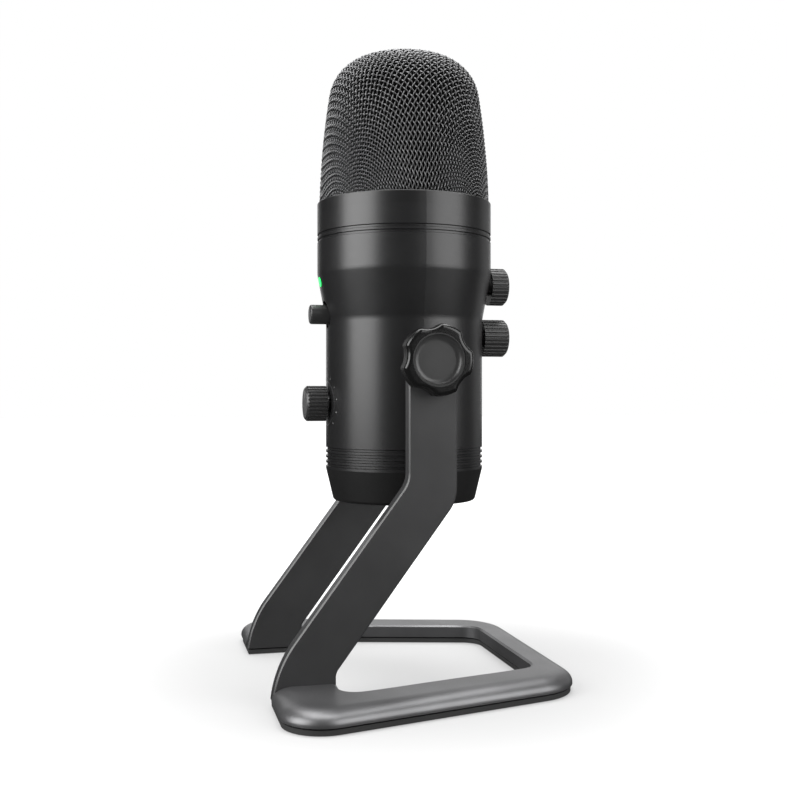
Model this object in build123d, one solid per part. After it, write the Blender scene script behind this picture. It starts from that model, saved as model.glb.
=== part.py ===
from build123d import *
from math import atan2, cos, hypot, pi, radians, sin, sqrt, tan
import os

# Desktop microphone in a two-arm stand. Millimetres, +Z up, the front of the microphone faces -Y.
# Everything is modelled about the microphone's vertical axis, then moved by AXIS_Y so that the base
# is centred on the origin. Radii are named R, heights above the table are named Z.

AXIS_Y = 1.5

# ---- Microphone body ----
BARREL_R = 27.0
TOP_R = 30.0
WALL = 2.5
BODY_Z0 = 70.0
TAPER_Z0 = 120.5
TAPER_Z1 = 136.5
TAPER_FILLET = 8.0
BODY_Z1 = 156.7
RING_Z1 = 161.0
RING_EDGE = 0.35
LOWER_GROOVES_Z = [71.4, 73.2, 75.0, 76.8]
UPPER_GROOVES_Z = [147.9, 149.7]
GROOVE_DEPTH = 0.5
GROOVE_WIDTH = 1.1

CAP_Z0 = 59.0
CAP_R = 24.4
CAP_EDGE = 1.3
CAP_FLOOR = 3.0
CAP_INNER_R = 21.9

# ---- Grille: side, shoulder and crown arcs that meet at a tangent ----
GRILLE_RIM_R = 29.4
GRILLE_TOP_Z = 213.0
GRILLE_SIDE_R = 277.0
GRILLE_SIDE_LEAN = 1.43
GRILLE_SHOULDER_R = 15.8
GRILLE_CROWN_R = 50.7
GRILLE_SKIRT_Z = 158.6
GRILLE_THICKNESS = 1.3
LINER_GAP = 0.1
LINER_THICKNESS = 1.5
SEAT_GAP = 0.1

# ---- Controls: heights of their axes ----
VOLUME_Z = 92.2
PATTERN_Z = 115.1
MUTE_Z = 122.5
GAIN_Z = 133.2
LED_Z = 133.6
VOLUME_KNOB_R = 6.0
REAR_KNOB_R = 6.5
KNOB_FLUTES = 28
FLUTE_R = 0.46
KNOB_CHAMFER = 0.8
KNOB_ROOF = 1.5
VOLUME_TIP = 34.8
REAR_TIP = 36.6
VOLUME_FACE = 27.6
PATTERN_FACE = 27.6
GAIN_FACE = 30.4
SHAFT_R = 3.0
RUN_CLEARANCE = 0.05
SHAFT_HOLE_R = 3.6
POT_HALF = 6.5
TRIM_R = 7.7
TRIM_WIDTH = 0.5
TRIM_DEPTH = 0.3

BUTTON_R = 3.3
BUTTON_TIP = 33.1
BUTTON_EDGE = 0.7
BUTTON_COLLAR = 1.0
BUTTON_INNER_END = 21.9
BUTTON_HOLE_R = 3.65
BUTTON_RECESS_R = 4.7
BUTTON_RECESS_Y = 26.0
LED_R = 1.6

# ---- Pivot and clamp knobs ----
PIVOT_Z = 106.0
BOSS_R = 6.0
BOSS_NECK_R = 5.0
BOSS_FACE_X = 32.3
BOSS_END_X = 19.5
NUT_R = 7.6
NUT_X0 = 20.0
NUT_X1 = 22.9
STUD_R = 3.0
INNER_WASHER_R = 6.0
OUTER_WASHER_R = 7.5
WASHER_CLEARANCE = 0.6
TURN_GAP = 0.3
CLAMP_R = 11.3
CLAMP_X0 = 39.1
CLAMP_X1 = 45.4
CLAMP_LOBES = 5
SCALLOP_DEPTH = 1.35
SCALLOP_R = 7.6
SCALLOP_START = 103
LOBE_ROUND = 1.2
CLAMP_FRONT_EDGE = 1.4
CLAMP_BACK_EDGE = 0.5
CLAMP_RECESS_R = 8.4
CLAMP_RECESS_DEPTH = 3.2
CLAMP_STUD_IN = 2.6
DISH_RIM = 0.4
DISH_DEPTH = 2.2
DISH_BEND = 2.0

# ---- Arms: bent plates ----
ARM_X0 = 33.2
ARM_X1 = 38.2
ARM_WIDTH = 15.7
ARM_LEAN_WIDTH = 16.1
ARM_LEAN = 36.6
ARM_BEND_Z = 67.8
ARM_TOE_Y = -50.8
ARM_HEEL_Y = -30.9
ARM_FRONT_BEND_R = 9.0
ARM_REAR_BEND_R = 12.0
ARM_TOE_R = 36.0
ARM_HEEL_R = 4.0
ARM_CHAMFER = 0.45
ARM_Z0 = 2.2
BUSH_R = 4.5
BUSH_BORE_R = 3.06

# ---- Base: flat U with a rounded outer edge ----
BASE_Z0 = 2.2
BASE_Z1 = 6.6
BASE_EDGE_OUT = 6.4
BASE_EDGE_DOWN = 3.9
BASE_INNER_EDGE = 0.6
BASE_SIDE_X = 58.5
BASE_SIDE_SLOPE = 0.266
BASE_INNER_X = 41.4
BASE_INNER_SLOPE = 0.262
BASE_REAR_Y = 47.8
BASE_BAR_Y = 36.3
BASE_FRONT_CORNER_R = 12.8
BASE_REAR_CORNER_R = 18.5
BASE_INNER_FRONT_R = 5.0
BASE_INNER_REAR_R = 7.0
PAD_STEP_Z = 1.6
PAD_INSET = 0.6
PAD_NECK_INSET = 1.6

PIN_R = 1.3
PIN_LENGTH = 9.0
PIN_BLIND = 1.5
PIN_PLACES = [(-45.0, 4.4), (-36.5, 4.4)]

# ---- Sockets, insert and screws in the bottom cap ----
INSERT_R = 9.2
THREAD_MINOR_R = 7.45
INSERT_Z1 = 72.0
SCREW_HEAD_R = 2.6
SCREW_HEAD_H = 1.6
SCREW_R = 1.4
HEX_R = 1.1
HEX_DEPTH = 1.0
SCREW_CIRCLE_R = 18.6
SCREW_ANGLES = [90, 210, 330]
JACK_R = 3.6
JACK_X = -13.2
JACK_BORE_R = 1.8
JACK_BORE = 14.0
USB_X = 14.5
USB_WIDTH = 9.2
USB_HEIGHT = 3.4
USB_TONGUE = 0.7
USB_WALL = 0.3
USB_DEPTH = 7.0
PORT_Z1 = 74.6

# ---- Chassis and boards ----
CHASSIS_Z0 = 64.0
CHASSIS_Z1 = 68.0
CHASSIS_TOP_Z0 = 150.0
CHASSIS_TOP_Z1 = 154.0
CHASSIS_INNER_R = 17.0
CHASSIS_TOP_R = 27.4
POST_R = 2.2
POST_XY = 13.9
BOARD_T = 1.6
BOARD_X = 18.0
BOARD_Z1 = 149.0
PORT_BOARD_R = 16.5

# ---- Potentiometers and switches ----
POT_DEPTH = 21.5
NECK_R = 4.4
NECK_Y = 23.9
SHAFT_END_Y = 12.0
SWITCH_HALF = 4.0
SWITCH_Y = 19.0
PLUNGER_R = 1.5
PLUNGER_Y = 20.3

# ---- Capsules and their mount ----
CAPSULE_Z = 187.0
CAPSULE_R = 7.0
CAPSULE_DEPTH = 5.0
CAPSULE_EDGE = 0.6
CAPSULE_ANGLES = {"capsule_front": -90, "capsule_rear_left": 150, "capsule_rear_right": 30}
MOUNT_R = 24.0
MOUNT_Z1 = 157.0
MOUNT_POST_R = 4.0
SHOCK_Z0 = 165.0
SHOCK_Z1 = 171.0
SHOCK_R = 8.0
HUB_R = 5.0

# Each side of the object: its name, and the sign of X there.
SIDES = {"left": -1, "right": 1}


def block(x0, x1, y0, y1, z0, z1):
    """A box between six planes."""
    return Pos((x0 + x1) / 2, (y0 + y1) / 2, (z0 + z1) / 2) * Box(abs(x1 - x0), abs(y1 - y0), abs(z1 - z0))


def rod_x(radius, x0, x1, y=0.0, z=0.0):
    return Pos((x0 + x1) / 2, y, z) * Rot(0, 90, 0) * Cylinder(radius, abs(x1 - x0))


def rod_y(radius, y0, y1, x=0.0, z=0.0):
    return Pos(x, (y0 + y1) / 2, z) * Rot(90, 0, 0) * Cylinder(radius, abs(y1 - y0))


def rod_z(radius, z0, z1, x=0.0, y=0.0):
    return Pos(x, y, (z0 + z1) / 2) * Cylinder(radius, abs(z1 - z0))


def lathe(points):
    """A solid of revolution about Z from (radius, height) points."""
    return revolve(Plane.XZ * make_face(Polyline(*points, close=True)), axis=Axis.Z)


def round_corners(face, corners):
    """Fillet a flat face at the given ((x, y), radius) corners."""
    for (x, y), radius in corners:
        near = [v for v in face.vertices() if hypot(v.X - x, v.Y - y) < 0.01]
        face = fillet(near, radius)
    return face


def save(shape, name):
    """Write one sub-part, moved so that the base is centred on the origin."""
    export_step(Pos(0, AXIS_Y, 0) * shape, f"parts/{name}.step")


# ---- Microphone body ----

def body_outline(grow=0.0):
    """Half of the body's outer outline, from the bottom joint to the top joint, filleted at the taper."""
    edge = [
        (0, BODY_Z0),
        (BARREL_R + grow, BODY_Z0),
        (BARREL_R + grow, TAPER_Z0),
        (TOP_R + grow, TAPER_Z1),
        (TOP_R + grow, BODY_Z1),
        (0, BODY_Z1),
    ]
    face = make_face(Polyline(*edge, close=True))
    bends = [v for v in face.vertices() if v.X > 1 and abs(v.Y - BODY_Z0) > 1 and abs(v.Y - BODY_Z1) > 1]
    return fillet(bends, TAPER_FILLET)


def body_solid(grow=0.0):
    return revolve(Plane.XZ * body_outline(grow), axis=Axis.Z)


def groove(height):
    """A shallow ring cut with sloping flanks, at one height of the body."""
    outer = TOP_R + 2 if height > TAPER_Z1 else BARREL_R + 2
    wall = TOP_R if height > TAPER_Z1 else BARREL_R
    half = GROOVE_WIDTH / 2
    return lathe([
        (wall - GROOVE_DEPTH, height - half * 0.6),
        (wall, height - half),
        (outer, height - half),
        (outer, height + half),
        (wall, height + half),
        (wall - GROOVE_DEPTH, height + half * 0.6),
    ])


def trim_region():
    """The ring around the volume knob that the trim ring fills, flush with the barrel."""
    ring = rod_y(TRIM_R, -30, -20, z=VOLUME_Z) - rod_y(TRIM_R - TRIM_WIDTH, -31, -19, z=VOLUME_Z)
    return ring & (body_solid() - rod_z(BARREL_R - TRIM_DEPTH, BODY_Z0 - 1, BODY_Z1 + 1))


def led_light():
    """The status light: a short round pipe cut flush with the taper."""
    return rod_y(LED_R, -32, -20, z=LED_Z) & body_solid(0.15)


def body_tube():
    tube = body_solid() - body_solid(-WALL)
    for height in LOWER_GROOVES_Z + UPPER_GROOVES_Z:
        tube -= groove(height)
    tube -= rod_y(SHAFT_HOLE_R, -40, -10, z=VOLUME_Z)
    tube -= rod_y(SHAFT_HOLE_R, 10, 40, z=PATTERN_Z)
    tube -= rod_y(SHAFT_HOLE_R, 10, 40, z=GAIN_Z)
    tube -= rod_y(BUTTON_HOLE_R, -40, -10, z=MUTE_Z)
    tube -= rod_y(BUTTON_RECESS_R, -40, -BUTTON_RECESS_Y, z=MUTE_Z)
    tube -= rod_y(LED_R, -40, -10, z=LED_Z)
    for sign in SIDES.values():
        tube -= rod_x(BOSS_NECK_R, sign * 10, sign * 40, z=PIVOT_Z)
    return tube - trim_region()


def bottom_cap():
    edge = [(0, CAP_Z0), (CAP_R, CAP_Z0), (BARREL_R, BODY_Z0), (0, BODY_Z0)]
    face = make_face(Polyline(*edge, close=True))
    corner = [v for v in face.vertices() if v.Y < CAP_Z0 + 1 and v.X > 1]
    cap = revolve(Plane.XZ * fillet(corner, CAP_EDGE), axis=Axis.Z)
    cap -= rod_z(CAP_INNER_R, CAP_Z0 + CAP_FLOOR, BODY_Z0 + 1)
    cap -= rod_z(INSERT_R, CAP_Z0 - 1, CAP_Z0 + CAP_FLOOR + 1)
    cap -= usb_shell()
    cap -= rod_z(JACK_R, CAP_Z0 - 1, CAP_Z0 + CAP_FLOOR + 1, x=JACK_X)
    for x, y in cap_screw_places():
        cap -= rod_z(SCREW_HEAD_R, CAP_Z0 - 1, CAP_Z0 + SCREW_HEAD_H, x, y)
        cap -= rod_z(SCREW_R, CAP_Z0, CAP_Z0 + CAP_FLOOR + 1, x, y)
    return cap


# ---- Sockets, insert and screws in the bottom cap ----


def cap_screw_places():
    places = []
    for angle in SCREW_ANGLES:
        places.append((SCREW_CIRCLE_R * cos(radians(angle)), SCREW_CIRCLE_R * sin(radians(angle))))
    return places


def cap_screw(x, y):
    head = rod_z(SCREW_HEAD_R, CAP_Z0 + 0.2, CAP_Z0 + SCREW_HEAD_H, x, y)
    socket = extrude(Plane.XY.offset(CAP_Z0) * Pos(x, y) * RegularPolygon(HEX_R, 6), HEX_DEPTH)
    return head + rod_z(SCREW_R, CAP_Z0 + SCREW_HEAD_H, CHASSIS_Z1 - 0.5, x, y) - socket


def thread_insert():
    """The stand thread's insert. Its bore is the minor diameter of a 5/8 inch, 27 thread."""
    return rod_z(INSERT_R, CAP_Z0 + 0.2, INSERT_Z1) - rod_z(THREAD_MINOR_R, CAP_Z0, INSERT_Z1 - 1)


def usb_outline(width, height):
    """The round-ended outline of the socket, long side along Y."""
    return Pos(USB_X, 0) * RectangleRounded(height, width, height / 2 - 0.05)


def usb_shell():
    return extrude(Plane.XY.offset(CAP_Z0 - 1) * usb_outline(USB_WIDTH, USB_HEIGHT), PORT_Z1 - CAP_Z0 + 1)


def usb_socket():
    lip = 0.2
    foot = CAP_Z0 + lip
    shell = extrude(Plane.XY.offset(foot) * usb_outline(USB_WIDTH, USB_HEIGHT), PORT_Z1 - foot)
    inside = usb_outline(USB_WIDTH - 2 * USB_WALL, USB_HEIGHT - 2 * USB_WALL)
    hollow = extrude(Plane.XY.offset(CAP_Z0) * inside, USB_DEPTH)
    half = USB_TONGUE / 2
    reach = USB_WIDTH / 2 - 1.3
    tongue = block(USB_X - half, USB_X + half, -reach, reach, CAP_Z0 + 1, CAP_Z0 + USB_DEPTH)
    return shell - hollow + tongue


def headphone_jack():
    jack = rod_z(JACK_R, CAP_Z0 + 0.2, PORT_Z1, x=JACK_X)
    return jack - rod_z(JACK_BORE_R, CAP_Z0, CAP_Z0 + JACK_BORE, x=JACK_X)


# ---- Chassis and boards ----


def chassis():
    """Two rings joined by four posts, which carry the boards and the capsule mount."""
    low = rod_z(CAP_INNER_R, CHASSIS_Z0, CHASSIS_Z1) - rod_z(CHASSIS_INNER_R, CHASSIS_Z0 - 1, CHASSIS_Z1 + 1)
    high = rod_z(CHASSIS_TOP_R, CHASSIS_TOP_Z0, CHASSIS_TOP_Z1)
    high -= rod_z(CHASSIS_INNER_R, CHASSIS_TOP_Z0 - 1, CHASSIS_TOP_Z1 + 1)
    frame = low + high
    for sx in (-1, 1):
        for sy in (-1, 1):
            frame += rod_z(POST_R, CHASSIS_Z0 + 1, CHASSIS_TOP_Z1 - 1, sx * POST_XY, sy * POST_XY)
    for x, y in cap_screw_places():
        frame -= rod_z(SCREW_R, CHASSIS_Z0 - 1, CHASSIS_Z1 - 0.5, x, y)
    return frame


def port_board():
    return rod_z(PORT_BOARD_R, PORT_Z1, PORT_Z1 + BOARD_T)


def main_board():
    return block(-BOARD_X, BOARD_X, -BOARD_T / 2, BOARD_T / 2, PORT_Z1 + BOARD_T, BOARD_Z1)


# ---- Potentiometers and switches ----


def rotary_control(side, height):
    """A potentiometer or rotary switch on the board. side is -1 at the front and 1 at the rear."""
    board_y = side * BOARD_T / 2
    body = block(-POT_HALF, POT_HALF, board_y, side * POT_DEPTH, height - POT_HALF, height + POT_HALF)
    body += rod_y(NECK_R, side * (POT_DEPTH - 1), side * NECK_Y, z=height)
    return body - rod_y(SHAFT_R + RUN_CLEARANCE, side * (SHAFT_END_Y - 0.5), side * 30, z=height)


def mute_switch():
    half = SWITCH_HALF
    body = block(-half, half, -BOARD_T / 2, -SWITCH_Y, MUTE_Z - half, MUTE_Z + half)
    return body + rod_y(PLUNGER_R, -SWITCH_Y, -PLUNGER_Y, z=MUTE_Z)


# ---- Knobs and button ----

def knurled_knob(radius, side, height, face, tip):
    """A fluted knob with a chamfered tip, on an axis along Y."""
    outline = Circle(radius)
    for step in range(KNOB_FLUTES):
        angle = 2 * pi * step / KNOB_FLUTES
        outline -= Pos((radius + 0.1) * cos(angle), (radius + 0.1) * sin(angle)) * Circle(FLUTE_R)
    length = tip - face
    fluted = extrude(outline, length)
    envelope = chamfer(Cylinder(radius, length).edges().group_by(Axis.Z)[-1], KNOB_CHAMFER)
    knob = fluted & (Pos(0, 0, length / 2) * envelope)
    knob -= rod_z(SHAFT_R, 0, length - KNOB_ROOF)
    return Pos(0, side * face, height) * Rot(side * -90, 0, 0) * knob


def knob_shaft(side, height, tip):
    """The steel shaft between a knob and its potentiometer."""
    return rod_y(SHAFT_R, side * SHAFT_END_Y, side * (tip - KNOB_ROOF), z=height)


def mute_button():
    """A round cap with a softened edge and a collar that keeps it behind the wall."""
    stem = rod_y(BUTTON_R, -BUTTON_TIP, -BUTTON_INNER_END, z=MUTE_Z)
    stem = fillet(stem.edges().group_by(Axis.Y)[0], BUTTON_EDGE)
    collar_y = BARREL_R - WALL - 0.5
    return stem + rod_y(BUTTON_R + BUTTON_COLLAR, -collar_y, -BUTTON_INNER_END, z=MUTE_Z)


# ---- Pivot ----

def pivot_boss(sign):
    """The threaded boss that carries the clamp stud: saddle outside the barrel, neck through its wall."""
    boss = rod_x(BOSS_R, sign * NUT_X1, sign * BOSS_FACE_X, z=PIVOT_Z) - rod_z(BARREL_R, BODY_Z0, BODY_Z1)
    boss += rod_x(BOSS_NECK_R, sign * BOSS_END_X, sign * 30, z=PIVOT_Z)
    return boss - rod_x(STUD_R + RUN_CLEARANCE, sign * (BOSS_END_X - 1), sign * (BOSS_FACE_X + 1), z=PIVOT_Z)


def pivot_nut(sign):
    """The round nut that pulls the boss against the barrel from inside."""
    nut = rod_x(NUT_R, sign * NUT_X0, sign * NUT_X1, z=PIVOT_Z)
    return nut - rod_x(BOSS_NECK_R, sign * (NUT_X0 - 1), sign * (NUT_X1 + 1), z=PIVOT_Z)


def washer(sign, x0, x1, radius):
    ring = rod_x(radius, sign * x0, sign * x1, z=PIVOT_Z)
    return ring - rod_x(STUD_R + WASHER_CLEARANCE, sign * (x0 - 1), sign * (x1 + 1), z=PIVOT_Z)


def arm_bush(sign):
    bush = rod_x(BUSH_R, sign * ARM_X0, sign * ARM_X1, z=PIVOT_Z)
    return bush - rod_x(BUSH_BORE_R, sign * (ARM_X0 - 1), sign * (ARM_X1 + 1), z=PIVOT_Z)


def scallop_places():
    centre = CLAMP_R - SCALLOP_DEPTH + SCALLOP_R
    places = []
    for step in range(CLAMP_LOBES):
        angle = radians(SCALLOP_START + step * 360 / CLAMP_LOBES)
        places.append((centre * cos(angle), centre * sin(angle)))
    return places


def clamp_knob(sign):
    """A lobed knob with a round recess in its face. Its outline lies in the YZ plane."""
    outline = Circle(CLAMP_R)
    for y, z in scallop_places():
        outline -= Pos(y, z) * Circle(SCALLOP_R)
    outline = fillet(outline.vertices(), LOBE_ROUND)
    length = CLAMP_X1 - CLAMP_X0
    knob = extrude(outline, length)
    knob = fillet(knob.edges().group_by(Axis.Z)[-1], CLAMP_FRONT_EDGE)
    knob = chamfer(knob.edges().group_by(Axis.Z)[0], CLAMP_BACK_EDGE)
    knob -= rod_z(CLAMP_RECESS_R, length - CLAMP_RECESS_DEPTH, length + 1)
    knob -= rod_z(STUD_R, -1, CLAMP_STUD_IN)
    placed = Pos(CLAMP_X0, 0, PIVOT_Z) * Rot(0, 90, 0) * Rot(0, 0, 90) * knob
    return placed if sign > 0 else mirror(placed, Plane.YZ)


def clamp_stud(sign):
    return rod_x(STUD_R, sign * (BOSS_END_X + 1.5), sign * (CLAMP_X0 + CLAMP_STUD_IN), z=PIVOT_Z)


def knob_cap(sign):
    """The dished insert in the clamp knob's recess: a bowl with a round bend up to a narrow rim."""
    floor = CLAMP_X1 - CLAMP_RECESS_DEPTH
    insert = rod_z(CLAMP_RECESS_R, 0, CLAMP_RECESS_DEPTH - DISH_RIM)
    bowl = rod_z(CLAMP_RECESS_R - DISH_RIM, CLAMP_RECESS_DEPTH - DISH_RIM - DISH_DEPTH, CLAMP_RECESS_DEPTH)
    bowl = fillet(bowl.edges().group_by(Axis.Z)[0], DISH_BEND)
    placed = Pos(floor, 0, PIVOT_Z) * Rot(0, 90, 0) * (insert - bowl)
    return placed if sign > 0 else mirror(placed, Plane.YZ)


# ---- Arms ----

def arm_outline():
    """The arm's side view in (Y, Z): upright at the pivot, leaning to the front, upright at the foot."""
    slope = tan(radians(ARM_LEAN))
    front = -ARM_WIDTH / 2
    rear = ARM_WIDTH / 2
    lean_width = ARM_LEAN_WIDTH / cos(radians(ARM_LEAN))
    rear_bend_z = ARM_BEND_Z - (lean_width - ARM_WIDTH) / slope
    toe_z = ARM_BEND_Z - (front - ARM_TOE_Y) / slope
    heel_z = rear_bend_z - (rear - ARM_HEEL_Y) / slope
    below = ARM_Z0 - 20
    bends = [
        ((front, ARM_BEND_Z), ARM_FRONT_BEND_R),
        ((ARM_TOE_Y, toe_z), ARM_TOE_R),
        ((ARM_HEEL_Y, heel_z), ARM_HEEL_R),
        ((rear, rear_bend_z), ARM_REAR_BEND_R),
    ]
    points = [
        (front, PIVOT_Z),
        (front, ARM_BEND_Z),
        (ARM_TOE_Y, toe_z),
        (ARM_TOE_Y, below),
        (ARM_HEEL_Y, below),
        (ARM_HEEL_Y, heel_z),
        (rear, rear_bend_z),
        (rear, PIVOT_Z),
    ]
    face = round_corners(make_face(Polyline(*points, close=True)), bends)
    face += Pos(0, PIVOT_Z) * Circle(ARM_WIDTH / 2)
    return face - Pos(0, ARM_Z0 - 50) * Rectangle(200, 100)


def arm(sign):
    plate = Plane.YZ.offset(ARM_X0) * extrude(arm_outline(), ARM_X1 - ARM_X0)
    rims = plate.edges().filter_by(lambda e: e.center().Z > ARM_Z0 + 0.5)
    faces_x = [e for e in rims if abs(e.bounding_box().size.X) < 0.01]
    plate = chamfer(faces_x, ARM_CHAMFER)
    plate -= rod_x(BUSH_R, ARM_X0 - 1, ARM_X1 + 1, z=PIVOT_Z)
    for y, z in PIN_PLACES:
        plate -= rod_x(PIN_R, ARM_X0 + PIN_BLIND, ARM_X1 + 1, y, z)
    return plate if sign > 0 else mirror(plate, Plane.YZ)


# ---- Base ----


def foot_pin(sign, y, z):
    """A blind pin that joins an arm's foot to the base casting."""
    start = ARM_X0 + PIN_BLIND
    return rod_x(PIN_R, sign * start, sign * (start + PIN_LENGTH), y, z)


def base_half(inset, inner_x):
    """One side of the U in plan, between the middle of the rear bar and the arm at inner_x."""
    lean = sqrt(1 + BASE_SIDE_SLOPE ** 2)
    side_x = BASE_SIDE_X - inset * lean
    hole_x = BASE_INNER_X + inset * sqrt(1 + BASE_INNER_SLOPE ** 2)
    front_y = ARM_TOE_Y + inset
    rear_y = BASE_REAR_Y - inset
    bar_y = BASE_BAR_Y + inset
    heel_y = ARM_HEEL_Y - inset
    front_corner = (side_x - BASE_SIDE_SLOPE * front_y, front_y)
    rear_corner = (side_x - BASE_SIDE_SLOPE * rear_y, rear_y)
    inner_rear = (hole_x - BASE_INNER_SLOPE * bar_y, bar_y)
    inner_front = (hole_x - BASE_INNER_SLOPE * heel_y, heel_y)
    points = [
        (inner_x, front_y),
        front_corner,
        rear_corner,
        (0, rear_y),
        (0, bar_y),
        inner_rear,
        inner_front,
        (inner_x, heel_y),
    ]
    face = make_face(Polyline(*points, close=True))
    rounds = [
        (front_corner, BASE_FRONT_CORNER_R - inset),
        (rear_corner, BASE_REAR_CORNER_R - inset),
        (inner_rear, BASE_INNER_REAR_R + inset),
        (inner_front, BASE_INNER_FRONT_R + inset),
    ]
    return round_corners(face, rounds)


def base_plan(inset, inner_x):
    half = base_half(inset, inner_x)
    return half + mirror(half, Plane.YZ)


def base_casting():
    """The flat U: a broad rounded edge all round the outside, a small bevel round the opening."""
    squeeze = BASE_EDGE_DOWN / BASE_EDGE_OUT
    tall = extrude(base_plan(0, ARM_X1), (BASE_Z1 - BASE_Z0) / squeeze)
    top = tall.faces().sort_by(Axis.Z)[-1]
    tall = fillet([e for e in top.edges() if is_outer_edge(e)], BASE_EDGE_OUT)
    body = Pos(0, 0, BASE_Z0) * scale(tall, by=(1, 1, squeeze))
    for sign in SIDES.values():
        for y, z in PIN_PLACES:
            body -= foot_pin(sign, y, z)
    return chamfer([e for e in level_edges(body, BASE_Z1) if is_inner_edge(e)], BASE_INNER_EDGE)


def level_edges(body, height):
    """The edges that lie flat at one height."""
    return [e for e in body.edges() if e.bounding_box().size.Z < 0.01 and abs(e.center().Z - height) < 0.01]


def is_arm_edge(edge):
    """True for an edge against the arm's plate."""
    return edge.bounding_box().size.X < 0.01 and abs(abs(edge.center().X) - ARM_X1) < 0.01


def is_outer_edge(edge):
    """True for an edge on the outer outline of the base's plan."""
    if is_arm_edge(edge):
        return False
    middle = edge.position_at(0.5)
    on_side = abs(middle.X) > BASE_INNER_X - BASE_INNER_SLOPE * middle.Y + 5
    return on_side or middle.Y < ARM_HEEL_Y - 5 or middle.Y > BASE_BAR_Y + 5


def is_inner_edge(edge):
    middle = edge.position_at(0.5)
    x = abs(middle.X)
    on_wall = x < BASE_INNER_X - BASE_INNER_SLOPE * middle.Y + 0.1
    return on_wall and ARM_HEEL_Y - 0.1 < middle.Y < BASE_BAR_Y + 0.1 and x > 0


def base_pad():
    """The rubber strip: a wider sole and a narrower neck that leaves a dark line under the casting."""
    sole = extrude(base_plan(PAD_INSET, ARM_X0 + PAD_INSET), PAD_STEP_Z)
    neck_plan = base_plan(PAD_NECK_INSET, ARM_X0 + PAD_NECK_INSET)
    neck = extrude(Plane.XY.offset(PAD_STEP_Z) * neck_plan, BASE_Z0 - PAD_STEP_Z)
    return sole + neck


# ---- Grille, inner mesh and capsules ----

def dome_arcs(grow):
    """Centres and tangent points of the side, shoulder and crown arcs, grown outward by grow."""
    lean = radians(GRILLE_SIDE_LEAN)
    side = (GRILLE_RIM_R - GRILLE_SIDE_R * cos(lean), RING_Z1 - GRILLE_SIDE_R * sin(lean))
    crown = (0.0, GRILLE_TOP_Z - GRILLE_CROWN_R)
    reach_side = GRILLE_SIDE_R - GRILLE_SHOULDER_R
    reach_crown = GRILLE_CROWN_R - GRILLE_SHOULDER_R
    gap = hypot(crown[0] - side[0], crown[1] - side[1])
    along = (reach_side ** 2 - reach_crown ** 2 + gap ** 2) / (2 * gap)
    across = sqrt(reach_side ** 2 - along ** 2)
    ux = (crown[0] - side[0]) / gap
    uz = (crown[1] - side[1]) / gap
    shoulder = (side[0] + ux * along - uz * across, side[1] + uz * along + ux * across)
    low = atan2(shoulder[1] - side[1], shoulder[0] - side[0])
    high = atan2(shoulder[1] - crown[1], shoulder[0] - crown[0])
    skirt_drop = GRILLE_SKIRT_Z - side[1]
    start = atan2(skirt_drop, sqrt((GRILLE_SIDE_R + grow) ** 2 - skirt_drop ** 2))
    return [
        (side, GRILLE_SIDE_R + grow, start, low),
        (shoulder, GRILLE_SHOULDER_R + grow, low, high),
        (crown, GRILLE_CROWN_R + grow, high, pi / 2),
    ]


def dome(grow):
    """A closed solid under the three arcs, from the skirt to the crown."""
    path = []
    first = None
    for centre, radius, start, stop in dome_arcs(grow):
        spots = []
        for part in (0, 0.5, 1):
            angle = start + (stop - start) * part
            spots.append((centre[0] + radius * cos(angle), centre[1] + radius * sin(angle)))
        first = first or spots[0]
        last = spots[2]
        path.append(ThreePointArc(*spots))
    path.append(Polyline(last, (0, GRILLE_SKIRT_Z), first))
    return revolve(Plane.XZ * make_face(path), axis=Axis.Z)


def top_ring():
    """The ring that joins tube and grille: a flange inside, a shallow seat for the grille's skirt."""
    ring = rod_z(TOP_R, BODY_Z1, RING_Z1)
    ring = chamfer(ring.edges().group_by(Axis.Z)[-1], RING_EDGE)
    ring -= rod_z(GRILLE_RIM_R + SEAT_GAP, GRILLE_SKIRT_Z, RING_Z1 + 1)
    return ring - rod_z(MOUNT_R + 0.2, BODY_Z1 - 1, RING_Z1 + 1)


def capsule_mount():
    """A disc on the chassis with a post and a hub for the capsules."""
    mount = rod_z(MOUNT_R, CHASSIS_TOP_Z1, MOUNT_Z1)
    mount += rod_z(MOUNT_POST_R, MOUNT_Z1, CAPSULE_Z - CAPSULE_R)
    return mount + rod_z(HUB_R, CAPSULE_Z - CAPSULE_R, CAPSULE_Z + CAPSULE_R)


def shock_ring():
    return rod_z(SHOCK_R, SHOCK_Z0, SHOCK_Z1) - rod_z(MOUNT_POST_R, SHOCK_Z0 - 1, SHOCK_Z1 + 1)


def capsule(angle):
    """A capsule facing outward from the hub, with a small foot against it."""
    disc = rod_x(CAPSULE_R, HUB_R + 0.1, HUB_R + CAPSULE_DEPTH)
    disc = chamfer(disc.edges().group_by(Axis.X)[-1], CAPSULE_EDGE)
    foot = block(HUB_R - 1, HUB_R + 1, -2, 2, -2, 2)
    foot -= rod_z(HUB_R, -5, 5)
    return Pos(0, 0, CAPSULE_Z) * Rot(0, 0, angle) * (disc + foot)


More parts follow.
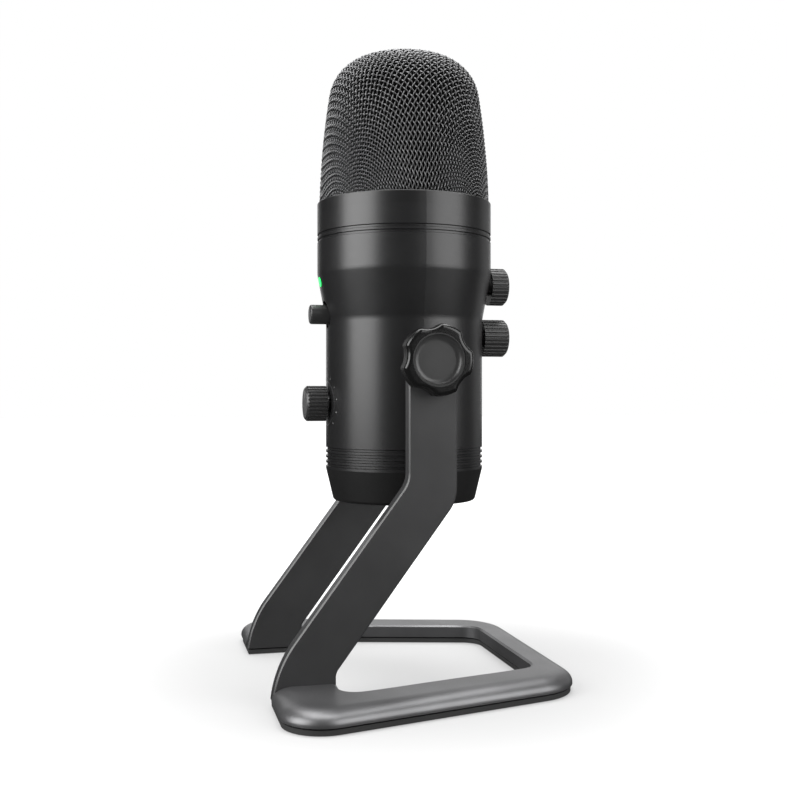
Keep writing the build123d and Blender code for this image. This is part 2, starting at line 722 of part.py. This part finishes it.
def build():
    os.makedirs("parts", exist_ok=True)

    save(base_casting(), "base_casting")
    save(base_pad(), "base_pad")
    for side, sign in SIDES.items():
        save(arm(sign), f"arm_{side}")
        for place, (y, z) in zip(("front", "rear"), PIN_PLACES):
            save(foot_pin(sign, y, z), f"foot_pin_{side}_{place}")
        save(arm_bush(sign), f"arm_bush_{side}")
        save(washer(sign, BOSS_FACE_X + TURN_GAP, ARM_X0, INNER_WASHER_R), f"inner_washer_{side}")
        save(washer(sign, ARM_X1, CLAMP_X0 - TURN_GAP, OUTER_WASHER_R), f"outer_washer_{side}")
        save(clamp_knob(sign), f"clamp_knob_{side}")
        save(clamp_stud(sign), f"clamp_stud_{side}")
        save(knob_cap(sign), f"knob_cap_{side}")
        save(pivot_boss(sign), f"pivot_boss_{side}")
        save(pivot_nut(sign), f"pivot_nut_{side}")

    save(body_tube(), "body_tube")
    save(trim_region(), "volume_trim")
    save(led_light(), "status_led")
    save(bottom_cap(), "bottom_cap")
    save(thread_insert(), "thread_insert")
    save(usb_socket(), "usb_socket")
    save(headphone_jack(), "headphone_jack")
    for number, (x, y) in enumerate(cap_screw_places(), 1):
        save(cap_screw(x, y), f"cap_screw_{number}")
    save(chassis(), "chassis")
    save(port_board(), "port_board")
    save(main_board(), "main_board")

    save(rotary_control(-1, VOLUME_Z), "volume_pot")
    save(rotary_control(1, GAIN_Z), "gain_pot")
    save(rotary_control(1, PATTERN_Z), "pattern_switch")
    save(mute_switch(), "mute_switch")
    save(knurled_knob(VOLUME_KNOB_R, -1, VOLUME_Z, VOLUME_FACE, VOLUME_TIP), "volume_knob")
    save(knurled_knob(REAR_KNOB_R, 1, PATTERN_Z, PATTERN_FACE, REAR_TIP), "pattern_knob")
    save(knurled_knob(REAR_KNOB_R, 1, GAIN_Z, GAIN_FACE, REAR_TIP), "gain_knob")
    save(knob_shaft(-1, VOLUME_Z, VOLUME_TIP), "volume_shaft")
    save(knob_shaft(1, PATTERN_Z, REAR_TIP), "pattern_shaft")
    save(knob_shaft(1, GAIN_Z, REAR_TIP), "gain_shaft")
    save(mute_button(), "mute_button")

    save(top_ring(), "top_ring")
    save(dome(0) - dome_hollow(-GRILLE_THICKNESS), "grille")
    save(inner_mesh(), "inner_mesh")
    save(capsule_mount(), "capsule_mount")
    save(shock_ring(), "shock_ring")
    for name, angle in CAPSULE_ANGLES.items():
        save(capsule(angle), name)


def dome_hollow(grow):
    """The dome's inside, carried on below the skirt so that the cut leaves no skin."""
    return dome(grow) + rod_z(GRILLE_RIM_R + grow, GRILLE_SKIRT_Z - 2, GRILLE_SKIRT_Z)


def inner_mesh():
    outer = -GRILLE_THICKNESS - LINER_GAP
    return dome(outer) - dome_hollow(outer - LINER_THICKNESS)


build()
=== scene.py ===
from math import cos, pi, radians, sin

import bpy
import numpy as np
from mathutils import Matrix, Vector


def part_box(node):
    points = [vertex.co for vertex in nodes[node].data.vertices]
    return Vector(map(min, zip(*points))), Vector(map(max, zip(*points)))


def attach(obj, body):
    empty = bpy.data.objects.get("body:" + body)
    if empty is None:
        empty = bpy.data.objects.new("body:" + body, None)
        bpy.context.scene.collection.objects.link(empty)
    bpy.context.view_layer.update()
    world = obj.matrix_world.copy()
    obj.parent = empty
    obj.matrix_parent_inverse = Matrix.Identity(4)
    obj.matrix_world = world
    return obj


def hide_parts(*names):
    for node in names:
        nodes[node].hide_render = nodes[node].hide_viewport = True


# Desktop microphone: materials for the CAD nodes, a woven wire grille and small printed details.
# Metres, +Z up, the microphone faces -Y.

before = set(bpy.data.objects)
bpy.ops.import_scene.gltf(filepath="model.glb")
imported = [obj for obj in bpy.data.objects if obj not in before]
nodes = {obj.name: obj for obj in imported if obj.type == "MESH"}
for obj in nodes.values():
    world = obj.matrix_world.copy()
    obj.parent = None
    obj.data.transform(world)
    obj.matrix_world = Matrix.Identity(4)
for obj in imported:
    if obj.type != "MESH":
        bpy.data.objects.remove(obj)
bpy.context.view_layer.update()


# ---------------------------------------------------------------- places taken from the frame

def middle(node):
    low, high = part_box(node)
    return (Vector(low) + Vector(high)) / 2


AXIS = Vector((0.0, middle("body_tube").y, 0.0))
RING_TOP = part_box("top_ring")[1][2]


# ---------------------------------------------------------------- materials

# Noise rarely leaves this span, so colours and gloss are stretched over it.
NOISE_LOW = 0.3
NOISE_HIGH = 0.7
SLOW_GRAIN = 60.0
LENS_GRAIN = 900.0
LENS_ROUGHNESS = 0.3


def new_material(name):
    material = bpy.data.materials.new(name)
    material.use_nodes = True
    tree = material.node_tree
    tree.nodes.clear()
    output = tree.nodes.new("ShaderNodeOutputMaterial")
    shader = tree.nodes.new("ShaderNodeBsdfPrincipled")
    tree.links.new(shader.outputs[0], output.inputs[0])
    return material, tree, shader


def noise(tree, scale, detail=3.0, rough=0.55, stretch=None):
    """Noise over the object's own coordinates. scale is features per metre."""
    coordinates = tree.nodes.new("ShaderNodeTexCoord")
    texture = tree.nodes.new("ShaderNodeTexNoise")
    texture.inputs["Scale"].default_value = scale
    texture.inputs["Detail"].default_value = detail
    texture.inputs["Roughness"].default_value = rough
    source = coordinates.outputs["Object"]
    if stretch:
        mapping = tree.nodes.new("ShaderNodeMapping")
        mapping.inputs["Scale"].default_value = stretch
        tree.links.new(source, mapping.inputs["Vector"])
        source = mapping.outputs["Vector"]
    tree.links.new(source, texture.inputs["Vector"])
    return texture.outputs["Fac"]


def spread(tree, factor, low, high):
    """The noise span stretched over low to high."""
    node = tree.nodes.new("ShaderNodeMapRange")
    node.inputs["From Min"].default_value = NOISE_LOW
    node.inputs["From Max"].default_value = NOISE_HIGH
    node.inputs["To Min"].default_value = low
    node.inputs["To Max"].default_value = high
    tree.links.new(factor, node.inputs["Value"])
    return node.outputs["Result"]


def tinted(tree, factor, dark, light):
    """A colour between dark and light by the factor."""
    ramp = tree.nodes.new("ShaderNodeValToRGB")
    ramp.color_ramp.elements[0].position = NOISE_LOW
    ramp.color_ramp.elements[1].position = NOISE_HIGH
    ramp.color_ramp.elements[0].color = (*dark, 1)
    ramp.color_ramp.elements[1].color = (*light, 1)
    tree.links.new(factor, ramp.inputs["Fac"])
    return ramp.outputs["Color"]


def bumped(tree, shader, factor, depth):
    bump = tree.nodes.new("ShaderNodeBump")
    bump.inputs["Distance"].default_value = depth
    tree.links.new(factor, bump.inputs["Height"])
    tree.links.new(bump.outputs["Normal"], shader.inputs["Normal"])


def coated(name, colour, roughness, grain=2500.0, depth=0.00001, vary=0.12, rough_vary=0.04,
           metallic=0.0, specular=0.5, stretch=None):
    """Painted, powder-coated or moulded surface: fine grain in height, slow change in colour and gloss."""
    material, tree, shader = new_material(name)
    slow = noise(tree, SLOW_GRAIN, 2.0)
    fine = noise(tree, grain, 2.0, 0.5, stretch)
    dark = [channel * (1 - vary) for channel in colour]
    light = [channel * (1 + vary) for channel in colour]
    tree.links.new(tinted(tree, slow, dark, light), shader.inputs["Base Color"])
    gloss = spread(tree, fine, roughness - rough_vary, roughness + rough_vary)
    tree.links.new(gloss, shader.inputs["Roughness"])
    bumped(tree, shader, fine, depth)
    shader.inputs["Metallic"].default_value = metallic
    shader.inputs["Specular IOR Level"].default_value = specular
    return material


def glowing(name, colour, strength):
    """A lit lens."""
    material, tree, shader = new_material(name)
    dark = [channel * 0.8 for channel in colour]
    tint = tinted(tree, noise(tree, LENS_GRAIN), dark, colour)
    tree.links.new(tint, shader.inputs["Base Color"])
    shader.inputs["Roughness"].default_value = LENS_ROUGHNESS
    shader.inputs["Emission Color"].default_value = (*colour, 1)
    shader.inputs["Emission Strength"].default_value = strength
    return material


# Grain drawn out round the body, and along a shaft.
HAIRLINE = (0.03, 0.03, 1.0)
BRUSHED = (1.0, 1.0, 0.05)

BODY = coated("body_paint", (0.0075, 0.0075, 0.0078), 0.34, grain=9000.0, depth=0.0000012, stretch=HAIRLINE)
RING = coated("ring_paint", (0.006, 0.006, 0.0062), 0.34, grain=5000.0, depth=0.000005)
CAP = coated("cap_plastic", (0.005, 0.005, 0.005), 0.42, grain=4000.0, depth=0.00001)
KNOB = coated("knob_plastic", (0.018, 0.018, 0.018), 0.38, grain=5000.0, depth=0.000006)
CLAMP = coated("clamp_plastic", (0.004, 0.004, 0.004), 0.22, grain=5000.0, depth=0.000003, specular=0.4)
DISH = coated("dish_plastic", (0.024, 0.024, 0.024), 0.36, grain=6000.0, depth=0.000004)
ARM = coated("arm_coating", (0.026, 0.026, 0.0265), 0.36, grain=5000.0, depth=0.000006)
BASE = coated("base_coating", (0.13, 0.13, 0.133), 0.41, grain=5200.0, depth=0.000012, metallic=0.8)
WIRE = coated("wire_coating", (0.14, 0.14, 0.142), 0.3, grain=3000.0, depth=0.000006, metallic=0.85)
# The inner mesh is a real black lining, but its near-black, almost unreflective colour is also painted
# shade for the dark hollow inside the grille dome.
INNER_MESH_PAINTED_SHADE = coated("inner_mesh", (0.003, 0.003, 0.003), 0.9, grain=2500.0, depth=0.0001, specular=0.05)
RUBBER = coated("rubber", (0.02, 0.02, 0.02), 0.75, grain=3000.0, depth=0.00002)
NYLON = coated("nylon", (0.02, 0.02, 0.02), 0.5)
STEEL = coated("steel", (0.55, 0.55, 0.56), 0.3, metallic=1.0, stretch=BRUSHED)
BRASS = coated("brass", (0.72, 0.55, 0.26), 0.3, metallic=1.0)
ALUMINIUM = coated("aluminium", (0.62, 0.62, 0.64), 0.35, metallic=1.0)
TRIM = coated("trim_metal", (0.3, 0.3, 0.31), 0.3, metallic=1.0)
BOARD = coated("solder_mask", (0.02, 0.12, 0.05), 0.35, grain=900.0, depth=0.00002)
PLATED = coated("plated", (0.75, 0.75, 0.76), 0.2, metallic=1.0)
LIGHT = glowing("status_light", (0.01, 0.75, 0.12), 1.2)
PRINT = coated("print", (0.16, 0.16, 0.16), 0.6)

FINISH = {
    BASE: ["base_casting"],
    RUBBER: ["base_pad", "shock_ring"],
    ARM: ["arm_left", "arm_right"],
    BODY: ["body_tube", "pivot_boss_left", "pivot_boss_right"],
    RING: ["top_ring"],
    CAP: ["bottom_cap"],
    KNOB: ["volume_knob", "gain_knob", "pattern_knob", "mute_button"],
    CLAMP: ["clamp_knob_left", "clamp_knob_right"],
    DISH: ["knob_cap_left", "knob_cap_right"],
    INNER_MESH_PAINTED_SHADE: ["inner_mesh"],
    NYLON: ["inner_washer_left", "inner_washer_right", "outer_washer_left", "outer_washer_right",
            "capsule_mount", "volume_pot", "gain_pot", "pattern_switch", "mute_switch"],
    STEEL: ["foot_pin_left_front", "foot_pin_left_rear", "foot_pin_right_front", "foot_pin_right_rear",
            "clamp_stud_left", "clamp_stud_right", "volume_shaft", "gain_shaft", "pattern_shaft",
            "cap_screw_1", "cap_screw_2", "cap_screw_3", "pivot_nut_left", "pivot_nut_right"],
    BRASS: ["thread_insert", "arm_bush_left", "arm_bush_right", "capsule_front", "capsule_rear_left",
            "capsule_rear_right"],
    ALUMINIUM: ["chassis"],
    BOARD: ["port_board", "main_board"],
    PLATED: ["usb_socket", "headphone_jack"],
    TRIM: ["volume_trim"],
    LIGHT: ["status_led"],
}
for material, names in FINISH.items():
    for name in names:
        node = nodes[name]
        node.data.materials.clear()
        node.data.materials.append(material)


# ---------------------------------------------------------------- woven wire grille

RIM_R = 0.0294
TOP_Z = 0.2130
SIDE_R = 0.277
SIDE_LEAN = radians(1.43)
SHOULDER_R = 0.0158
CROWN_R = 0.0507
WIRE_PITCH = 0.00255
WIRE_R = 0.00024
WEAVE_HEIGHT = 0.00034
WIRE_INSET = 0.00060
STEPS_PER_PITCH = 5
WIRE_SIDES = 5
# The wires thin towards the ring, by distance along the dome from the crown.
THIN_FROM = 0.03
THIN_TO = 0.07
THIN_SHARE = 0.75
MERIDIAN_STEP = 0.0001
LEAST_ARC_POINTS = 8
# How fast the flat sheet's radius grows along the dome, by distance from the crown in millimetres:
# over the weave's own directions, and half-way between them.
ALONG_WIRES = [(0, 1.0), (10, 1.0), (22, 1.7), (40, 1.45), (70, 2.2)]
BETWEEN_WIRES = [(0, 1.0), (10, 1.05), (22, 1.6), (34, 1.35), (46, 1.1), (70, 1.05)]


def dome_meridian():
    """The grille's outline from the crown to the ring: distance, radius, height and normal angle."""
    side = np.array((RIM_R - SIDE_R * cos(SIDE_LEAN), RING_TOP - SIDE_R * sin(SIDE_LEAN)))
    crown = np.array((0.0, TOP_Z - CROWN_R))
    gap = crown - side
    length = np.hypot(*gap)
    along = ((SIDE_R - SHOULDER_R) ** 2 - (CROWN_R - SHOULDER_R) ** 2 + length ** 2) / (2 * length)
    across = np.sqrt((SIDE_R - SHOULDER_R) ** 2 - along ** 2)
    unit = gap / length
    shoulder = side + unit * along + np.array((-unit[1], unit[0])) * across
    low = np.arctan2(*(shoulder - side)[::-1])
    high = np.arctan2(*(shoulder - crown)[::-1])
    arcs = [
        (crown, CROWN_R, pi / 2, high),
        (shoulder, SHOULDER_R, high, low),
        (side, SIDE_R, low, SIDE_LEAN),
    ]
    distance, radius, height, normal = [], [], [], []
    travelled = 0.0
    for centre, arc_r, start, stop in arcs:
        count = max(LEAST_ARC_POINTS, int(arc_r * abs(stop - start) / MERIDIAN_STEP))
        angles = np.linspace(start, stop, count)
        distance.append(travelled + arc_r * np.abs(angles - start))
        radius.append(centre[0] + arc_r * np.cos(angles))
        height.append(centre[1] + arc_r * np.sin(angles))
        normal.append(angles)
        travelled += arc_r * abs(stop - start)
    return [np.concatenate(part) for part in (distance, radius, height, normal)]


def sheet_radius(distance, growth):
    """The flat sheet's radius that lands at each distance along the meridian."""
    spots = np.array([spot for spot, _ in growth]) * 0.001
    rates = np.array([rate for _, rate in growth])
    rate = np.interp(distance, spots, rates)
    steps = np.diff(distance, prepend=0.0)
    return np.cumsum(rate * steps)


MERIDIAN = dome_meridian()
ALONG = sheet_radius(MERIDIAN[0], ALONG_WIRES)
BETWEEN = sheet_radius(MERIDIAN[0], BETWEEN_WIRES)


def drape(u, v, lift):
    """Points of the flat weave laid on the dome, with their outward normals and places on the meridian."""
    sheet = np.hypot(u, v)
    azimuth = np.arctan2(v, u)
    share = np.cos(2 * azimuth) ** 2
    position = np.empty_like(u)
    for i in range(len(u)):
        table = share[i] * ALONG + (1 - share[i]) * BETWEEN
        position[i] = np.interp(sheet[i], table, MERIDIAN[0], right=-1.0)
    inside = position >= 0
    radius = np.interp(position, MERIDIAN[0], MERIDIAN[1])
    height = np.interp(position, MERIDIAN[0], MERIDIAN[2])
    tilt = np.interp(position, MERIDIAN[0], MERIDIAN[3])
    turn = azimuth + pi / 4
    normal = np.stack((np.cos(tilt) * np.cos(turn), np.cos(tilt) * np.sin(turn), np.sin(tilt)), axis=1)
    point = np.stack((radius * np.cos(turn), radius * np.sin(turn), height), axis=1)
    point += normal * (lift - WIRE_INSET)[:, None]
    point += np.array(AXIS)
    return point, normal, position, inside


def wire_tube(points, normals, radii, vertices, faces):
    """Adds one wire's tube to the lists of vertices and faces."""
    tangent = np.gradient(points, axis=0)
    tangent /= np.linalg.norm(tangent, axis=1)[:, None]
    side = np.cross(tangent, normals)
    side /= np.linalg.norm(side, axis=1)[:, None]
    up = np.cross(side, tangent)
    first = len(vertices)
    turns = np.arange(WIRE_SIDES) * 2 * pi / WIRE_SIDES
    for i in range(len(points)):
        ring = points[i] + radii[i] * (np.cos(turns)[:, None] * up[i] + np.sin(turns)[:, None] * side[i])
        vertices.extend(ring.tolist())
    for i in range(len(points) - 1):
        row = first + i * WIRE_SIDES
        for k in range(WIRE_SIDES):
            after = (k + 1) % WIRE_SIDES
            faces.append((row + k, row + after, row + WIRE_SIDES + after, row + WIRE_SIDES + k))
    last = first + (len(points) - 1) * WIRE_SIDES
    faces.append(tuple(first + k for k in reversed(range(WIRE_SIDES))))
    faces.append(tuple(last + k for k in range(WIRE_SIDES)))


def add_mesh(name, vertices, faces, material, body, smooth=True):
    mesh = bpy.data.meshes.new(name)
    mesh.from_pydata(vertices, [], faces)
    if smooth:
        mesh.polygons.foreach_set("use_smooth", [True] * len(mesh.polygons))
    mesh.materials.append(material)
    piece = bpy.data.objects.new(name, mesh)
    bpy.context.scene.collection.objects.link(piece)
    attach(piece, body)
    return piece


def wire_family(name, across):
    """All the wires of one direction. Every second crossing passes over the other family."""
    reach = max(ALONG[-1], BETWEEN[-1])
    count = int(reach / WIRE_PITCH)
    step = WIRE_PITCH / STEPS_PER_PITCH
    run = np.arange(-count * STEPS_PER_PITCH, count * STEPS_PER_PITCH + 1) * step
    vertices, faces = [], []
    for k in range(-count, count + 1):
        offset = np.full_like(run, k * WIRE_PITCH)
        wave = WEAVE_HEIGHT * np.cos(pi * (run / WIRE_PITCH + k))
        if across:
            points, normals, position, inside = drape(offset, run, -wave)
        else:
            points, normals, position, inside = drape(run, offset, wave)
        if inside.sum() < 3:
            continue
        first = np.argmax(inside)
        last = len(inside) - np.argmax(inside[::-1])
        radii = np.interp(position[first:last], (THIN_FROM, THIN_TO), (WIRE_R, WIRE_R * THIN_SHARE))
        wire_tube(points[first:last], normals[first:last], radii, vertices, faces)
    wires = add_mesh(name, vertices, faces, WIRE, "microphone")
    return wires


warp = wire_family("grille_warp_wires", across=False)
weft = wire_family("grille_weft_wires", across=True)
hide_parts("grille")
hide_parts("grille")


# ---------------------------------------------------------------- pointer lines and printed dots

POINTER_WIDTH = 0.0006
POINTER_INNER = 0.0016
POINTER_EDGE = 0.0011
PRINT_HEIGHT = 0.00004
DOT_R = 0.00022
DOT_SIDES = 12
DOT_COUNT = 11
DOT_SPREAD = 135
DOT_RING_R = 0.0093
BARREL_R = 0.027


def pointer(name, knob, body):
    """A thin line from near the centre of a knob's face to its edge, pointing up."""
    low, high = [Vector(corner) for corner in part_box(knob)]
    centre = (low + high) / 2
    front = centre.y < AXIS.y
    face = low.y - PRINT_HEIGHT if front else high.y + PRINT_HEIGHT
    back = low.y + PRINT_HEIGHT if front else high.y - PRINT_HEIGHT
    half = POINTER_WIDTH / 2
    z0 = centre.z + POINTER_INNER
    z1 = high.z - POINTER_EDGE
    corners = [(x, z) for z in (z0, z1) for x in (centre.x - half, centre.x + half)]
    vertices = [(x, y, z) for y in (face, back) for x, z in corners]
    faces = [(0, 1, 3, 2), (4, 6, 7, 5), (0, 4, 5, 1), (2, 3, 7, 6), (0, 2, 6, 4), (1, 5, 7, 3)]
    return add_mesh(name, vertices, faces, PRINT, body, smooth=False)


def scale_dots(name, knob):
    """Small printed dots on the body's front wall in an arc round a knob."""
    centre = middle(knob)
    vertices, faces = [], []
    for step in range(DOT_COUNT):
        angle = radians(90 - DOT_SPREAD + 2 * DOT_SPREAD * step / (DOT_COUNT - 1))
        x = centre.x + DOT_RING_R * cos(angle)
        z = centre.z + DOT_RING_R * sin(angle)
        first = len(vertices)
        for layer in (PRINT_HEIGHT, -PRINT_HEIGHT):
            for k in range(DOT_SIDES):
                turn = 2 * pi * k / DOT_SIDES
                px = x + DOT_R * cos(turn)
                depth = np.sqrt((BARREL_R + layer) ** 2 - px ** 2)
                vertices.append((px, AXIS.y - depth, z + DOT_R * sin(turn)))
        for k in range(DOT_SIDES):
            after = (k + 1) % DOT_SIDES
            faces.append((first + k, first + after, first + DOT_SIDES + after, first + DOT_SIDES + k))
        faces.append(tuple(first + k for k in reversed(range(DOT_SIDES))))
        faces.append(tuple(first + DOT_SIDES + k for k in range(DOT_SIDES)))
    return add_mesh(name, vertices, faces, PRINT, "microphone", smooth=False)


pointer("volume_pointer", "volume_knob", "volume_control")
pointer("gain_pointer", "gain_knob", "gain_control")
pointer("pattern_pointer", "pattern_knob", "pattern_control")
scale_dots("volume_scale_dots", "volume_knob")


# ---------------------------------------------------------------- stage, light and camera

AIM_HEIGHT = 0.12
CAMERA_TURN = radians(13.42)
CAMERA_DISTANCE = 0.3794
CAMERA_SIDE = -0.00363
CAMERA_HEIGHT = 0.0956
LENS = 50.0
SENSOR = 36.0
NEAR_CLIP = 0.01

FLOOR_HALF = 4.0
FLOOR_DROP = 0.0002
FLOOR_GREY = 0.25
# The floor's own glow rises from the object outwards, so that it meets the white surround.
FLOOR_NEAR = 0.06
FLOOR_FAR = 0.2
FLOOR_GLOW = 0.4
FLOOR_FAR_GLOW = 1.1
BACKDROP_R = 6.0
WORLD_GLOW = 0.03

# Name, degrees to the right of the camera, distance, height, width and height of the panel, watts.
SOFTBOXES = [
    ("softbox_left", -61.0, 0.8, 0.42, (0.72, 0.75), 12.0),
    ("softbox_right", 57.0, 0.8, 0.42, (0.72, 0.75), 7.5),
    ("softbox_top", 180.0, 0.15, 0.95, (0.9, 0.9), 16.0),
    ("softbox_back", 180.0, 1.0, 0.35, (1.1, 0.6), 2.0),
    ("softbox_rim", 132.0, 0.9, 0.3, (0.45, 0.6), 0.35),
]

toward = Vector((cos(CAMERA_TURN), -sin(CAMERA_TURN), 0.0))
right = Vector((sin(CAMERA_TURN), cos(CAMERA_TURN), 0.0))
up = Vector((0.0, 0.0, 1.0))


def area_light(name, direction, distance, height, size, power):
    """A rectangular softbox that faces the microphone. direction is degrees to the right of the camera."""
    turn = radians(direction)
    data = bpy.data.lights.new(name, "AREA")
    data.shape = "RECTANGLE"
    data.size = size[0]
    data.size_y = size[1]
    data.energy = power
    lamp = bpy.data.objects.new(name, data)
    position = AXIS + (toward * cos(turn) + right * sin(turn)) * distance + up * height
    lamp.location = position
    lamp.rotation_euler = (AXIS + up * AIM_HEIGHT - position).to_track_quat("-Z", "Y").to_euler()
    lamp.visible_camera = False
    bpy.context.scene.collection.objects.link(lamp)


def floor_material():
    """White paper that grows into the white surround away from the object."""
    material, tree, shader = new_material("floor_white")
    shader.inputs["Base Color"].default_value = (FLOOR_GREY, FLOOR_GREY, FLOOR_GREY, 1)
    shader.inputs["Roughness"].default_value = 0.9
    shader.inputs["Specular IOR Level"].default_value = 0.0
    shader.inputs["Emission Color"].default_value = (1, 1, 1, 1)
    coordinates = tree.nodes.new("ShaderNodeTexCoord")
    length = tree.nodes.new("ShaderNodeVectorMath")
    length.operation = "LENGTH"
    fade = tree.nodes.new("ShaderNodeMapRange")
    fade.interpolation_type = "SMOOTHSTEP"
    fade.inputs["From Min"].default_value = FLOOR_NEAR
    fade.inputs["From Max"].default_value = FLOOR_FAR
    fade.inputs["To Min"].default_value = FLOOR_GLOW
    fade.inputs["To Max"].default_value = FLOOR_FAR_GLOW
    tree.links.new(coordinates.outputs["Object"], length.inputs[0])
    tree.links.new(length.outputs["Value"], fade.inputs["Value"])
    tree.links.new(fade.outputs["Result"], shader.inputs["Emission Strength"])
    return material


def white_floor():
    """A wide plane just under the object. It doesn't show in the object's reflections."""
    signs = [(-1, -1), (1, -1), (1, 1), (-1, 1)]
    corners = [(x * FLOOR_HALF, y * FLOOR_HALF, -FLOOR_DROP) for x, y in signs]
    mesh = bpy.data.meshes.new("floor")
    mesh.from_pydata(corners, [], [(0, 1, 2, 3)])
    mesh.materials.append(floor_material())
    floor = bpy.data.objects.new("floor", mesh)
    bpy.context.scene.collection.objects.link(floor)
    floor.visible_glossy = False


def backdrop():
    """A white surround that only shows behind the object, and lights nothing."""
    bpy.ops.mesh.primitive_uv_sphere_add(radius=BACKDROP_R, segments=48, ring_count=24)
    sphere = bpy.context.object
    sphere.name = "backdrop"
    material, tree, shader = new_material("backdrop_white")
    shader.inputs["Base Color"].default_value = (0, 0, 0, 1)
    shader.inputs["Roughness"].default_value = 1.0
    shader.inputs["Emission Color"].default_value = (1, 1, 1, 1)
    shader.inputs["Emission Strength"].default_value = 1.0
    sphere.data.materials.append(material)
    sphere.visible_diffuse = False
    sphere.visible_glossy = False
    sphere.visible_transmission = False
    sphere.visible_shadow = False


white_floor()
backdrop()

world = bpy.data.worlds.new("studio")
bpy.context.scene.world = world
world.use_nodes = True
world.node_tree.nodes["Background"].inputs["Color"].default_value = (1, 1, 1, 1)
world.node_tree.nodes["Background"].inputs["Strength"].default_value = WORLD_GLOW

for softbox in SOFTBOXES:
    area_light(*softbox)

camera_data = bpy.data.cameras.new("camera")
camera_data.lens = LENS
camera_data.sensor_width = SENSOR
camera_data.clip_start = NEAR_CLIP
camera = bpy.data.objects.new("camera", camera_data)
camera.location = AXIS + toward * CAMERA_DISTANCE + right * CAMERA_SIDE + up * CAMERA_HEIGHT
camera.rotation_euler = (-toward).to_track_quat("-Z", "Y").to_euler()
bpy.context.scene.collection.objects.link(camera)
bpy.context.scene.camera = camera
bpy.context.scene.view_settings.view_transform = "Standard"
